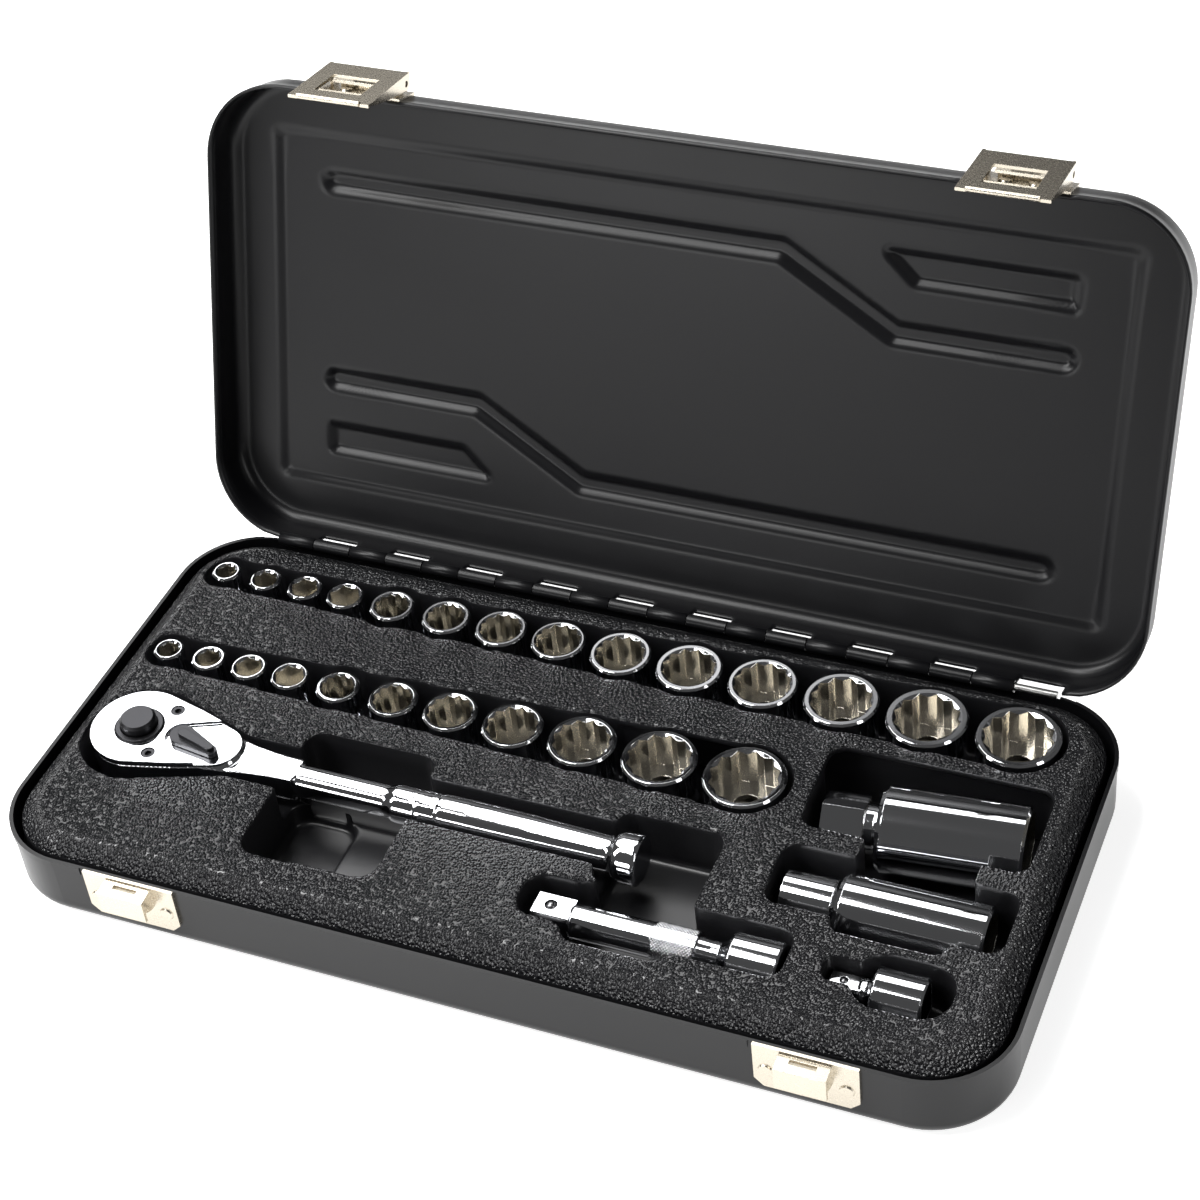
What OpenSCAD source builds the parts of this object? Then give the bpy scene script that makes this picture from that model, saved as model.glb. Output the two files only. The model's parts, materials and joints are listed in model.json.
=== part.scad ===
// Socket wrench set in a hinged steel case: pressed base and lid, piano hinge,
// two snap latches, moulded tool tray, 25 sockets, reversible ratchet, extension
// bar, two spark plug sockets and a drive adapter. Millimetres, +Z up, +X along
// the case, -Y to the latch side. The origin is the middle of the base's underside.

/* [Case] */
// Width of the case along the hinge
case_w = 320; // [300:1:400]
// Depth of the case from latches to hinge
case_d = 156; // [150:1:200]
// Height of the base up to its rim
base_h = 24; // [24:0.5:30]
// Height of the lid above its rim
lid_h = 16.3; // [14:0.1:24]
// Outside radius of the upright corners
corner_r = 26; // [16:1:32]
// Outside radius of the bottom and top edges
edge_r = 5; // [2.5:0.5:7]
// Thickness of the steel sheet
sheet = 0.9; // [0.6:0.1:1.2]
// Height of the hem round each rim
hem_h = 2.8; // [2:0.1:4]
// How far the hem stands proud of the wall
hem_out = 0.35; // [0.2:0.05:0.5]
// Gap between the two rims when shut
rim_gap = 0.3; // [0.2:0.1:0.6]
// How far the lid stands open at rest, in degrees
open_angle = 108.5; // [90:0.5:115]

/* [Lid pressing] */
// Margin from the lid's outline to the raised panel
panel_margin = 17.5; // [14:0.5:24]
// Height of the raised panel
panel_rise = 1.2; // [0.6:0.1:2]
// Height of the beads above the panel
bead_rise = 1.4; // [0.8:0.1:2]
// Width of the long beads
bead_w = 9; // [6:0.5:12]

/* [Hinge] */
// Number of knuckles, shared in turn by lid and base
knuckles = 20; // [12:2:24]
// Length of one knuckle
knuckle_l = 13.55; // [10:0.05:15]
// Outside radius of a knuckle
knuckle_r = 2.2; // [1.8:0.1:2.6]
// Radius of the hinge pin
hinge_pin_r = 1.2; // [0.8:0.1:1.5]
// Depth of the window that clears a knuckle of the other half
window_h = 4.2; // [3:0.1:6]

/* [Latches] */
// Distance of each latch from the middle of the case
latch_x = 107; // [80:1:115]
// Width of the strike plate and of the lid plate
plate_w = 31; // [28:0.5:36]
// Thickness of the latch sheet
latch_sheet = 1; // [0.8:0.1:1.2]
// Width of the catch block on the base
catch_w = 15.4; // [12:0.1:18]
// How far the catch block stands out from the case
catch_out = 6.2; // [4:0.1:8]
// Height of the catch block's front face
catch_h = 8.6; // [7:0.1:10]
// Width of the swinging frame
frame_w = 28; // [26:0.5:32]

/* [Tray] */
// Height of the tray's flat top
tray_top = 27; // [26:0.5:32]
// Height where the tray's sloping edge meets the groove
shelf_z = 22.3; // [18:0.1:23]
// Gap between the tray and the case wall
tray_gap = 0.4; // [0.3:0.1:1]
// Distance from the case wall to the edge of the flat top
tray_bank = 9; // [7:0.1:14]
// Thickness of the tray's floor under the sockets
tray_floor = 1.0; // [0.8:0.1:2]

/* [Sockets] */
// Length of every socket
socket_l = 25; // [22:0.5:28]
// Gap between neighbouring sockets
socket_gap = 2.8; // [2.4:0.1:4]
// Place of the back row from front to back
back_row_y = 54.3; // [52:0.1:58]
// Place of the front row from front to back
front_row_y = 14.1; // [12:0.1:16]
// Place of the first socket in both rows
first_x = -143.4; // [-150:0.1:-142]
// Body diameter at the drive end, quarter inch square
quarter_body = 12; // [11.5:0.1:13]
// Body diameter at the drive end, three eighths square
threeeighths_body = 16.8; // [16:0.1:18]

/* [Ratchet] */
// Distance from the head's centre to the end of the handle
ratchet_reach = 170; // [150:1:185]
// Radius of the round head
head_r = 15.7; // [14:0.1:18]
// Thickness of the head
head_t = 13; // [12:0.1:15]
// Teeth on the gear
gear_teeth = 36; // [24:1:72]
// Radius of the handle's grip
grip_r = 6.5; // [5:0.1:7]

/* [Long tools] */
// Length of the extension bar
extension_l = 76; // [60:1:90]
// Radius of the extension bar's shank
shank_r = 5.4; // [5:0.1:6]
// Outside radius of the large spark plug socket
big_plug_r = 13.5; // [12:0.1:14]
// Outside radius of the small spark plug socket
small_plug_r = 11; // [10:0.1:12]
// Length of the spark plug sockets
plug_l = 61.5; // [55:0.5:65]
// Length of the drive adapter
adapter_l = 28; // [24:0.5:30]

/* [Hidden] */
$fn = 64;
QUARTER = 6.35;
THREE_EIGHTHS = 9.53;
// size across the flats in mm, outside diameter at the mouth, points, node name
METRIC = [
    [6, 9.5, 6, "metric_socket_06"], [7, 10.7, 6, "metric_socket_07"],
    [8, 11.8, 6, "metric_socket_08"], [9, 12.4, 6, "metric_socket_09"],
    [10, 14.7, 12, "metric_socket_10"], [11, 16, 12, "metric_socket_11"],
    [12, 17, 12, "metric_socket_12"], [13, 17.8, 12, "metric_socket_13"],
    [14, 19.8, 12, "metric_socket_14"], [15, 21.4, 12, "metric_socket_15"],
    [16, 22.2, 12, "metric_socket_16"], [17, 23.8, 12, "metric_socket_17"],
    [18, 25.6, 12, "metric_socket_18"], [19, 26.2, 12, "metric_socket_19"]];
INCH = 25.4;
IMPERIAL = [
    [INCH / 4, 9.8, 6, "inch_socket_1_4"], [INCH * 9 / 32, 11.2, 6, "inch_socket_9_32"],
    [INCH * 5 / 16, 11.7, 6, "inch_socket_5_16"], [INCH * 11 / 32, 12.3, 6, "inch_socket_11_32"],
    [INCH * 3 / 8, 14.2, 12, "inch_socket_3_8"], [INCH * 7 / 16, 16.1, 12, "inch_socket_7_16"],
    [INCH / 2, 17.6, 12, "inch_socket_1_2"], [INCH * 9 / 16, 19.6, 12, "inch_socket_9_16"],
    [INCH * 5 / 8, 21.8, 12, "inch_socket_5_8"], [INCH * 11 / 16, 23.8, 12, "inch_socket_11_16"],
    [INCH * 3 / 4, 25.9, 12, "inch_socket_3_4"]];

FIT = 0.05;
half_w = case_w / 2;
half_d = case_d / 2;
inner_w = case_w - 2 * sheet;
inner_d = case_d - 2 * sheet;
base_rim = base_h - rim_gap / 2;
lid_rim = base_h + rim_gap / 2;
lid_top = base_h + lid_h;
hinge_l = knuckles * knuckle_l;
side_clear = 0.3;
notch_h = knuckle_r + side_clear;
seat_z = sheet + tray_floor + 0.3;
corner_x = half_w - corner_r;
corner_y = half_d - corner_r;

// ---- shared shapes ----

// upright section of a pan: flat top, rounded lower corners
module pan_section(w, h, e) {
    translate([-w / 2 + e, 0]) square([w - 2 * e, h]);
    translate([-w / 2, e]) square([w, h - e]);
    for (s = [-1, 1]) translate([s * (w / 2 - e), e]) circle(e);
}

// block w by d by h with upright corners of radius r and rounded lower edges
module pan_block(w, d, h, r, e) {
    translate([-(w / 2 - r), 0, 0]) rotate([90, 0, 90])
        linear_extrude(w - 2 * r) pan_section(d, h, e);
    translate([0, d / 2 - r, 0]) rotate([90, 0, 0])
        linear_extrude(d - 2 * r) pan_section(w, h, e);
    for (sx = [-1, 1], sy = [-1, 1]) translate([sx * (w / 2 - r), sy * (d / 2 - r), 0])
        rotate_extrude() intersection() {
            pan_section(2 * r, h, e);
            square([r, h]);
        }
}

// open steel pan, rim upwards
module pan(h) {
    difference() {
        pan_block(case_w, case_d, h, corner_r, edge_r);
        translate([0, 0, sheet])
            pan_block(inner_w, inner_d, h, corner_r - sheet, edge_r - sheet);
    }
}

// hem round the rim, left out behind the latches and the hinge
module hem(low) {
    difference() {
        translate([0, 0, low]) linear_extrude(hem_h)
            round_rect(case_w + 2 * hem_out, case_d + 2 * hem_out, corner_r + hem_out);
        translate([0, 0, low - 1]) linear_extrude(hem_h + 2)
            round_rect(case_w - sheet, case_d - sheet, corner_r - sheet / 2);
        for (side = [-1, 1]) translate([side * latch_x - plate_w / 2 - 1.5, -case_d, low - 1])
            cube([plate_w + 3, case_d, hem_h + 2]);
        translate([-hinge_l / 2 - 6, 0, low - 1]) cube([hinge_l + 12, case_d, hem_h + 2]);
    }
}

// flat rectangle with round corners
module round_rect(w, d, r) {
    square([w - 2 * r, d], center = true);
    square([w, d - 2 * r], center = true);
    for (sx = [-1, 1], sy = [-1, 1]) translate([sx * (w / 2 - r), sy * (d / 2 - r)]) circle(r);
}

function unit(v) = v / norm(v);
function left_of(v) = [-v[1], v[0]];

// sideways step at point i of a chain, long enough to keep both runs' width
function mitre(points, i) =
    let (last = len(points) - 1,
         before = unit(points[max(i, 1)] - points[max(i, 1) - 1]),
         after = unit(points[min(i, last - 1) + 1] - points[min(i, last - 1)]),
         mid = unit(before + after))
    left_of(mid) / (mid * after);

// band of width w along a chain of points, with round ends
module band(points, w) {
    count = len(points);
    polygon(concat(
        [for (i = [0 : count - 1]) points[i] + mitre(points, i) * w / 2],
        [for (i = [count - 1 : -1 : 0]) points[i] - mitre(points, i) * w / 2]));
    for (p = [points[0], points[count - 1]]) translate(p) circle(w / 2 - 0.02);
}

// straight-sided channel between two round ends of different radius, along X
module taper(xa, ra, xb, rb, y) {
    tilt = asin((rb - ra) / (xb - xa));
    edge = 0.1;
    translate([xa, y]) circle(ra);
    translate([xb, y]) circle(rb);
    polygon([for (e = [[xa, ra - edge, 1], [xb, rb - edge, 1], [xb, rb - edge, -1],
                       [xa, ra - edge, -1]])
        [e[0] - e[1] * sin(tilt), y + e[2] * e[1] * cos(tilt)]]);
}

// turned solid along +X from a list of [distance, radius]
module turned(stations) {
    last = len(stations) - 1;
    rotate([90, 0, 90]) rotate_extrude() polygon(concat(
        [[0, stations[0][0]]],
        [for (s = stations) [s[1], s[0]]],
        [[0, stations[last][0]]]));
}

// the lid's pieces are drawn shut and swung open about the hinge
module opened() {
    translate([0, half_d, base_h]) rotate([-open_angle, 0, 0])
        translate([0, -half_d, -base_h]) children();
}

module at_latches(side) {
    translate([side * latch_x, -half_d, 0]) children();
}

// ---- steel case ----

function knuckle_x(i) = -hinge_l / 2 + i * knuckle_l;

module knuckle(i) {
    translate([knuckle_x(i) + side_clear / 2, half_d, base_h]) rotate([0, 90, 0])
        difference() {
            cylinder(r = knuckle_r, h = knuckle_l - side_clear);
            translate([0, 0, -1]) cylinder(r = hinge_pin_r + FIT, h = knuckle_l + 2);
        }
}

// slot through the wall where the other half's knuckle turns
module knuckle_slot(i, low, high) {
    translate([knuckle_x(i) - side_clear / 2, half_d - knuckle_r - side_clear, low])
        cube([knuckle_l + side_clear, 2 * (knuckle_r + side_clear), high - low]);
}

module case_base() {
    color("#2b2c2f") {
        difference() {
            union() {
                pan(base_rim);
                hem(base_rim - hem_h);
            }
            for (i = [0 : 2 : knuckles - 1]) knuckle_slot(i, base_h - notch_h, base_h + 1);
            for (i = [1 : 2 : knuckles - 1]) knuckle_bore(i);
        }
        for (i = [1 : 2 : knuckles - 1]) knuckle(i);
    }
}

module knuckle_bore(i) {
    translate([knuckle_x(i) - 1, half_d, base_h]) rotate([0, 90, 0])
        cylinder(r = hinge_pin_r + FIT, h = knuckle_l + 2);
}

panel_w = case_w - 2 * panel_margin;
panel_d = case_d - 2 * panel_margin;
// centre line of the lower long bead; the upper one is the same turned half round
bead_end = panel_w / 2 - 20;
bead_line = [[-bead_end, 23.6], [-70, 23.6], [-32, 44.8], [bead_end, 44.8]];
pocket_shape = [[-bead_end - 1, 41], [-75.5, 41], [-67, 48.5], [-bead_end - 1, 48.5]];

pocket_edge = 4;

// outline of the beads, drawn in from their edge by inset
module beads(inset) {
    for (turn = [0, 180]) rotate(turn) {
        band(bead_line, bead_w - 2 * inset);
        for (i = [0 : 3])
            band([pocket_shape[i], pocket_shape[(i + 1) % 4]], pocket_edge - 2 * inset);
        polygon(pocket_shape);
    }
}

module case_lid() {
    color("#232427") opened() {
        difference() {
            union() {
                translate([0, 0, lid_top]) mirror([0, 0, 1]) pan(lid_h - rim_gap / 2);
                hem(lid_rim);
                translate([0, 0, lid_top - sheet])
                    linear_extrude(panel_rise + sheet) round_rect(panel_w, panel_d, 4);
                translate([0, 0, lid_top + panel_rise - sheet])
                    linear_extrude(bead_rise + sheet) beads(0);
            }
            translate([0, 0, lid_top - 2 * sheet]) linear_extrude(panel_rise + sheet)
                round_rect(panel_w - 2 * sheet, panel_d - 2 * sheet, 4 - sheet);
            translate([0, 0, lid_top - sheet]) linear_extrude(panel_rise + bead_rise)
                beads(sheet);
            for (i = [1 : 2 : knuckles - 1]) knuckle_slot(i, base_h - 1, base_h + window_h);
            for (i = [0 : 2 : knuckles - 1]) knuckle_bore(i);
        }
        for (i = [0 : 2 : knuckles - 1]) knuckle(i);
    }
}

module hinge_pin() {
    color("#9a9a98") translate([-hinge_l / 2, half_d, base_h]) rotate([0, 90, 0])
        cylinder(r = hinge_pin_r, h = hinge_l);
}

// ---- latches: drawn with Y = 0 on the case wall and -Y outwards ----

rivet_x = plate_w / 2 - 3.7;
rivet_z = 13.9;
rivet_head_r = 2.3;
rivet_r = 1.4;
strike_low = 6.7;
strike_r = 4;
catch_top = base_h - 1.2;

module strike_plate(side) {
    color("#cfc8b8") at_latches(side) {
        difference() {
            union() {
                rotate([90, 0, 0]) linear_extrude(latch_sheet) difference() {
                    translate([-plate_w / 2, strike_low]) square([plate_w, base_rim - strike_low]);
                    for (s = [-1, 1]) translate([s * plate_w / 2, strike_low])
                        rotate(45) square(strike_r, center = true);
                }
                // catch block: sloping top, front face and two cheeks
                rotate([90, 0, 90]) translate([0, 0, -catch_w / 2])
                    linear_extrude(catch_w) difference() {
                        catch_outline(0);
                        catch_outline(latch_sheet);
                    }
                for (x = [-catch_w / 2, catch_w / 2 - latch_sheet]) translate([x, 0, 0])
                    rotate([90, 0, 90]) linear_extrude(latch_sheet) catch_cheek();
            }
            for (s = [-1, 1]) translate([s * rivet_x, 1, rivet_z]) rotate([90, 0, 0])
                cylinder(r = rivet_r, h = latch_sheet + 2);
            translate([-4, -3.4, catch_top - 3]) cube([8, 1.4, 5]);
        }
    }
}

// side view of the catch block; X is the distance from the wall, drawn negative
module catch_outline(inset) {
    low = catch_top - catch_h - (inset > 0 ? 1 : 0);
    polygon([[0, catch_top - inset], [-catch_out + inset, catch_top - 0.7 - inset],
             [-catch_out + inset, low], [0, low]]);
}

module catch_cheek() {
    intersection() {
        catch_outline(0);
        translate([0, catch_top]) circle(7.5);
    }
}

module strike_rivets() {
    color("#d8d2c4") for (side = [-1, 1]) at_latches(side)
        for (s = [-1, 1]) translate([s * rivet_x, 0, rivet_z]) rotate([90, 0, 0])
            rivet(latch_sheet);
}

// rivet through the sheet, head on the outside; z = 0 is the wall's outer face
module rivet(grip) {
    cylinder(r = rivet_r - FIT, h = grip);
    translate([0, 0, grip]) cylinder(r1 = rivet_head_r, r2 = rivet_head_r - 0.3, h = 0.5);
}

pivot_z = base_h + 9.5;
pivot_out = 4;
pin_r = 1;
ear_t = 1.2;
ear_r = 1.8;
ear_x = frame_w / 2 - 2.6;
lid_plate_low = base_h + 1.6;
lid_plate_high = lid_top - edge_r + 1;
lid_rivet_x = 4.5;
lid_rivet_z = base_h + 4.2;
bracket_w = 15;

module latch_plate(side) {
    color("#cfc8b8") opened() at_latches(side) {
        difference() {
            translate([-plate_w / 2, -latch_sheet, lid_plate_low])
                cube([plate_w, latch_sheet, lid_plate_high - lid_plate_low]);
            for (s = [-1, 1]) translate([s * lid_rivet_x, 1, lid_rivet_z]) rotate([90, 0, 0])
                cylinder(r = rivet_r, h = latch_sheet + 2);
        }
        // ears that carry the pin
        for (s = [-1, 1]) translate([s * ear_x - ear_t / 2, 0, 0]) rotate([90, 0, 90])
            linear_extrude(ear_t) difference() {
                union() {
                    translate([-pivot_out, pivot_z]) circle(ear_r);
                    translate([-pivot_out, pivot_z - ear_r]) square([pivot_out, 2 * ear_r]);
                }
                translate([-pivot_out, pivot_z]) circle(pin_r + FIT);
            }
        // bent bracket behind the window
        translate([-bracket_w / 2, 0, 0]) rotate([90, 0, 90]) linear_extrude(bracket_w)
            polygon([[0, bracket_top], [-4, bracket_top - 0.4], [-4.4, bracket_top - 0.9],
                     [-4.4, bracket_low], [-3.5, bracket_low], [-3.5, bracket_top - 1.5],
                     [0, bracket_top - 1]]);
    }
}

bracket_top = pivot_z - 1.8;
bracket_low = base_h + 2;

module latch_rivets() {
    color("#d8d2c4") opened() for (side = [-1, 1]) at_latches(side)
        for (s = [-1, 1]) translate([s * lid_rivet_x, 0, lid_rivet_z]) rotate([90, 0, 0])
            rivet(latch_sheet);
}

module latch_pin(side) {
    pin_l = frame_w - 0.8;
    color("#a9a69c") opened() at_latches(side)
        translate([-pin_l / 2, -pivot_out, pivot_z]) rotate([0, 90, 0])
            cylinder(r = pin_r, h = pin_l);
}

// coil spring round the pin
module latch_spring(side) {
    wire = 0.35;
    coils = 14;
    color("#8f8d86") opened() at_latches(side)
        for (i = [0 : coils - 1])
            translate([(i - (coils - 1) / 2) * 1.8 * wire, -pivot_out, pivot_z])
                rotate([0, 90, 0]) rotate_extrude() translate([pin_r + wire + 0.15, 0])
                    circle(wire, $fn = 24);
}

frame_tilt = 9;
frame_low = 7.4;
frame_high = pivot_z + 2.4;
window_low = catch_top - catch_h - 0.6;
window_high = window_low + 13.3;
window_w = catch_w + 0.6;
frame_in = 1.9;
module latch_frame(side) {
    color("#d4cebf") opened() at_latches(side) {
        // sheet with the window, leaning out towards the pin
        translate([0, -frame_in, frame_low]) rotate([frame_tilt, 0, 0]) rotate([90, 0, 0])
            linear_extrude(latch_sheet) difference() {
                translate([-frame_w / 2, 0]) square([frame_w, frame_high - frame_low]);
                translate([-window_w / 2, window_low - frame_low])
                    square([window_w, window_high - window_low]);
            }
        // side cheeks round the pin
        for (x = [-frame_w / 2, frame_w / 2 - latch_sheet]) translate([x, 0, 0])
            rotate([90, 0, 90]) linear_extrude(latch_sheet) frame_cheek();
        // rolled lip along the lower edge
        translate([-lip_w / 2, -frame_in - 0.9, frame_low]) rotate([0, 90, 0])
            cylinder(r = 0.9, h = lip_w);
    }
}

lip_w = frame_w - 6.4;
module frame_cheek() {
    lean = (frame_high - frame_low) * tan(frame_tilt);
    difference() {
        union() {
            polygon([[-frame_in - 0.5, frame_low], [-frame_in - latch_sheet, frame_low],
                     [-frame_in - lean - latch_sheet, frame_high],
                     [-pivot_out, frame_high], [-1.6, pivot_z - 1],
                     [-1.6, frame_low + 9]]);
            translate([-pivot_out, pivot_z]) circle(2.4);
        }
        translate([-pivot_out, pivot_z]) circle(pin_r + FIT);
    }
}

// ---- tray ----

groove_w = 2.2;
groove_z = 12;

// half section of the tray's edge, from the wall inwards; used for runs and corners
function bank_profile(reach, low) = [
    [0, low], [reach - tray_gap, low], [reach - tray_gap, groove_z],
    [reach - groove_w, groove_z + 2], [reach - groove_w, shelf_z],
    [reach - tray_bank, tray_top], [0, tray_top]];

module tray_block() {
    low = sheet + 0.2;
    foot = edge_r;
    run_x = inner_w / 2;
    run_y = inner_d / 2;
    cr = corner_r - sheet;
    translate([-(run_x - cr), 0, 0]) rotate([90, 0, 90]) linear_extrude(2 * (run_x - cr))
        for (m = [0, 1]) mirror([m, 0]) polygon(bank_profile(run_y, foot));
    translate([0, run_y - cr, 0]) rotate([90, 0, 0]) linear_extrude(2 * (run_y - cr))
        for (m = [0, 1]) mirror([m, 0]) polygon(bank_profile(run_x, foot));
    for (sx = [-1, 1], sy = [-1, 1]) translate([sx * (run_x - cr), sy * (run_y - cr), 0])
        rotate_extrude() polygon(bank_profile(cr, foot));
    translate([0, 0, low]) linear_extrude(foot + 1 - low)
        round_rect(inner_w - 2 * edge_r, inner_d - 2 * edge_r, cr - edge_r);
}

module pocket(floor_z) {
    translate([0, 0, floor_z]) linear_extrude(tray_top + 1 - floor_z) children();
}

// rectangle between two corners, with round corners
module well(xa, xb, ya, yb, r = 3.5) {
    translate([(xa + xb) / 2, (ya + yb) / 2]) round_rect(xb - xa, yb - ya, r);
}

row_wall = 1.8;
// one round bay for each socket, joined by a slightly narrower channel
module row_pocket(table, y) {
    last = len(table) - 1;
    channel = row_wall - 0.9;
    for (i = [0 : last]) translate([row_x(table, i), y])
        circle(seat_of(table[i]) / 2 + row_wall);
    taper(first_x, seat_of(table[0]) / 2 + channel, row_x(table, last),
          seat_of(table[last]) / 2 + channel, y);
}

module insert_tray() {
    color("#1b1c1e") difference() {
        tray_block();
        pocket(seat_z - 0.3) {
            row_pocket(METRIC, back_row_y);
            row_pocket(IMPERIAL, front_row_y);
        }
        // ratchet head, handle channel, finger wells and the end well
        pocket(head_low - THREE_EIGHTHS - 3) translate([head_x, tool_y]) circle(head_r + 4);
        pocket(handle_z - grip_r - 3) {
            taper(head_x, head_r + 3.8, head_x + 31, 9.5, tool_y);
            well(head_x + 20, handle_end + 6, tool_y - 8.9, tool_y + 9.2, 6);
        }
        pocket(4) well(-80, -58, -59, tool_y, 6);
        pocket(8) well(-66, -35.5, -58, tool_y, 6);
        pocket(6) well(-80, -36.5, tool_y, -6, 5);
        pocket(8) well(26, handle_end + 22, -38, -9.5, 5);
        pocket(12) well(30, handle_end + 22, -44, -30);
        // extension bar
        pocket(bar_z - 9.5) {
            well(bar_x - 4, bar_x + 20, bar_y - 8, bar_y + 8, 6);
            well(bar_x + 8, bar_x + extension_l + 2, bar_y - 9.6, bar_y + 9, 5);
            well(bar_x + 12, bar_x + 46, bar_y - 14, bar_y + 10, 6);
        }
        // spark plug sockets
        pocket(plug_z - big_plug_r - 0.5) {
            well(plug_x - 3.5, plug_x + plug_l + 4.5, big_plug_y - big_plug_r - 2.7, 35.5, 5);
            well(plug_x - 4, plug_x + plug_l + 5.5, small_plug_y - 12.5, small_plug_y + 11.5, 5);
            well(plug_x + 17.5, plug_x + 52.5, -36, 14, 5);
        }
        // drive adapter
        pocket(bar_z - 9.5) {
            well(adapter_x - 2, adapter_x + 14, bar_y - 5, bar_y + 4);
            well(adapter_x + 7, adapter_x + 36, bar_y - 11, bar_y + 9, 9);
        }
        // hollow underside
        for (w = [[-146, 146, 27, 38], [-146, -90, -62, -46], [-28, 4, -62, -42]])
            translate([0, 0, -1]) linear_extrude(tray_top - 2) well(w[0], w[1], w[2], w[3]);
    }
}

// ---- sockets ----

function drive_of(s) = s[2] == 6 ? QUARTER : THREE_EIGHTHS;
function body_of(s) = s[2] == 6 ? quarter_body : threeeighths_body;
function seat_of(s) = max(s[1], body_of(s));
// place of socket i: seats stand side by side with socket_gap between them
function row_x(row, i) = i == 0 ? first_x
    : row_x(row, i - 1) + (seat_of(row[i - 1]) + seat_of(row[i])) / 2 + socket_gap;

module socket_blank(s) {
    mouth = s[1] / 2;
    base = body_of(s) / 2;
    chamfer = 0.6;
    shoulder = mouth < base ? socket_l * 0.55 : socket_l * 0.36;
    rise = mouth < base ? 3 : 1.5;
    rotate_extrude() polygon([[0, 0], [base - chamfer, 0], [base, chamfer],
        [base, shoulder], [mouth, shoulder + rise], [mouth, socket_l - chamfer],
        [mouth - chamfer, socket_l], [0, socket_l]]);
}

// hexagon, or two hexagons turned for the twelve point form
module wrench_shape(across, points) {
    for (turn = points == 12 ? [0, 30] : [0])
        rotate(turn) circle(d = across / cos(30), $fn = 6);
}

module socket(s) {
    play = 0.15;
    grip_depth = socket_l * 0.5;
    drive_depth = socket_l * 0.42;
    drive = drive_of(s);
    difference() {
        socket_blank(s);
        translate([0, 0, socket_l - grip_depth]) linear_extrude(grip_depth + 1)
            wrench_shape(s[0] + play, s[2]);
        translate([0, 0, socket_l - 0.8]) cylinder(d1 = s[0], d2 = s[0] * 1.155 + 1.2, h = 1);
        translate([0, 0, -1]) linear_extrude(drive_depth + 1)
            square(drive + play, center = true);
        cylinder(d = min(s[0], drive) - 0.8, h = socket_l);
    }
}

module row(table, y) {
    for (i = [0 : len(table) - 1]) color("#c8cacd") translate([row_x(table, i), y, seat_z]) socket(table[i]);
}

// ---- ratchet: head centre at (head_x, tool_y), top face at head_top ----

head_x = -132.5;
tool_y = -23.2;
head_top = 30;
head_low = head_top - head_t;
cover_t = 2;
handle_z = 22;
handle_end = head_x + ratchet_reach;
pivot_x = head_x + 15.4;
gear_r = 9.6;
gear_hole_r = gear_r + 0.5;
lever_turn = -17;
collar_x = head_x + 90;
neck_end = collar_x;
collar_r = 6.2;
end_r = 7.9;
grip_l = handle_end - collar_x;
// half plan of the shoulder between head and neck, from the head's centre
shoulder = [[18, 10.6], [27, 9], [33, 7.4], [39, 6.1], [47, 5.1], [56, 4.7]];
screw_x = head_x + 8.5;
screw_y = 9.8;
lug_r = 5.5;
ring_r = 8;
button_r = 5.8;
stem_r = 2.4;
ball_r = 1.65;

module head_outline() {
    hull() {
        circle(head_r);
        translate([13, 0]) circle(head_r * 0.8);
        translate([27, 0]) circle(8.4);
    }
}

// scoop in the cover round the lever, open towards the handle
module lever_scoop() {
    translate([pivot_x - head_x, 0]) circle(lug_r);
    polygon([[pivot_x - head_x - 1, lug_r], [pivot_x - head_x + 10, lug_r + 4.5],
             [40, lug_r + 8], [40, -lug_r - 8], [pivot_x - head_x + 10, -lug_r - 4.5],
             [pivot_x - head_x - 1, -lug_r]]);
}

module ratchet_body() {
    color("#d5d7da") {
        difference() {
            union() {
                translate([head_x, tool_y, head_low]) linear_extrude(head_t - cover_t)
                    head_outline();
                // forged shoulder, neck and turned grip
                translate([head_x, tool_y, head_low + 0.2]) linear_extrude(9.6)
                    polygon(concat(shoulder, [for (i = [len(shoulder) - 1 : -1 : 0])
                        [shoulder[i][0], -shoulder[i][1]]]));
                translate([head_x + 26, tool_y, handle_z]) rotate([90, 0, 90])
                    linear_extrude(neck_end - head_x - 26) neck_section();
                translate([collar_x, tool_y, handle_z]) turned([[-9, 4.2], [-3, 5.2],
                    [-0.5, collar_r], [6.2, collar_r], [6.7, collar_r - 0.4],
                    [7.2, collar_r], [13.4, collar_r], [13.9, collar_r - 0.4],
                    [14.5, grip_r - 0.1], [24, grip_r], [grip_l - 36, grip_r - 0.2],
                    [grip_l - 12, grip_r - 0.9], [grip_l - 9.5, grip_r - 0.8],
                    [grip_l - 7.5, end_r - 0.5], [grip_l - 6, end_r - 0.1],
                    [grip_l - 0.7, end_r], [grip_l, end_r - 0.7]]);
            }
            translate([head_x, tool_y, head_low + 1.6]) cylinder(r = gear_hole_r, h = head_t);
            translate([head_x, tool_y, head_low - 1]) cylinder(r = 7.4, h = head_t);
            // pawl chamber and spindle hole
            translate([pivot_x - 0.5, tool_y, head_low + 3]) cylinder(r = 6.6, h = head_t);
            for (s = [-1, 1]) translate([screw_x, tool_y + s * screw_y, head_low + 4])
                cylinder(r = 1.5, h = head_t);
        }
    }
}

module neck_section() {
    round_rect(9.6, 9.8, 4.1);
}

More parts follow.
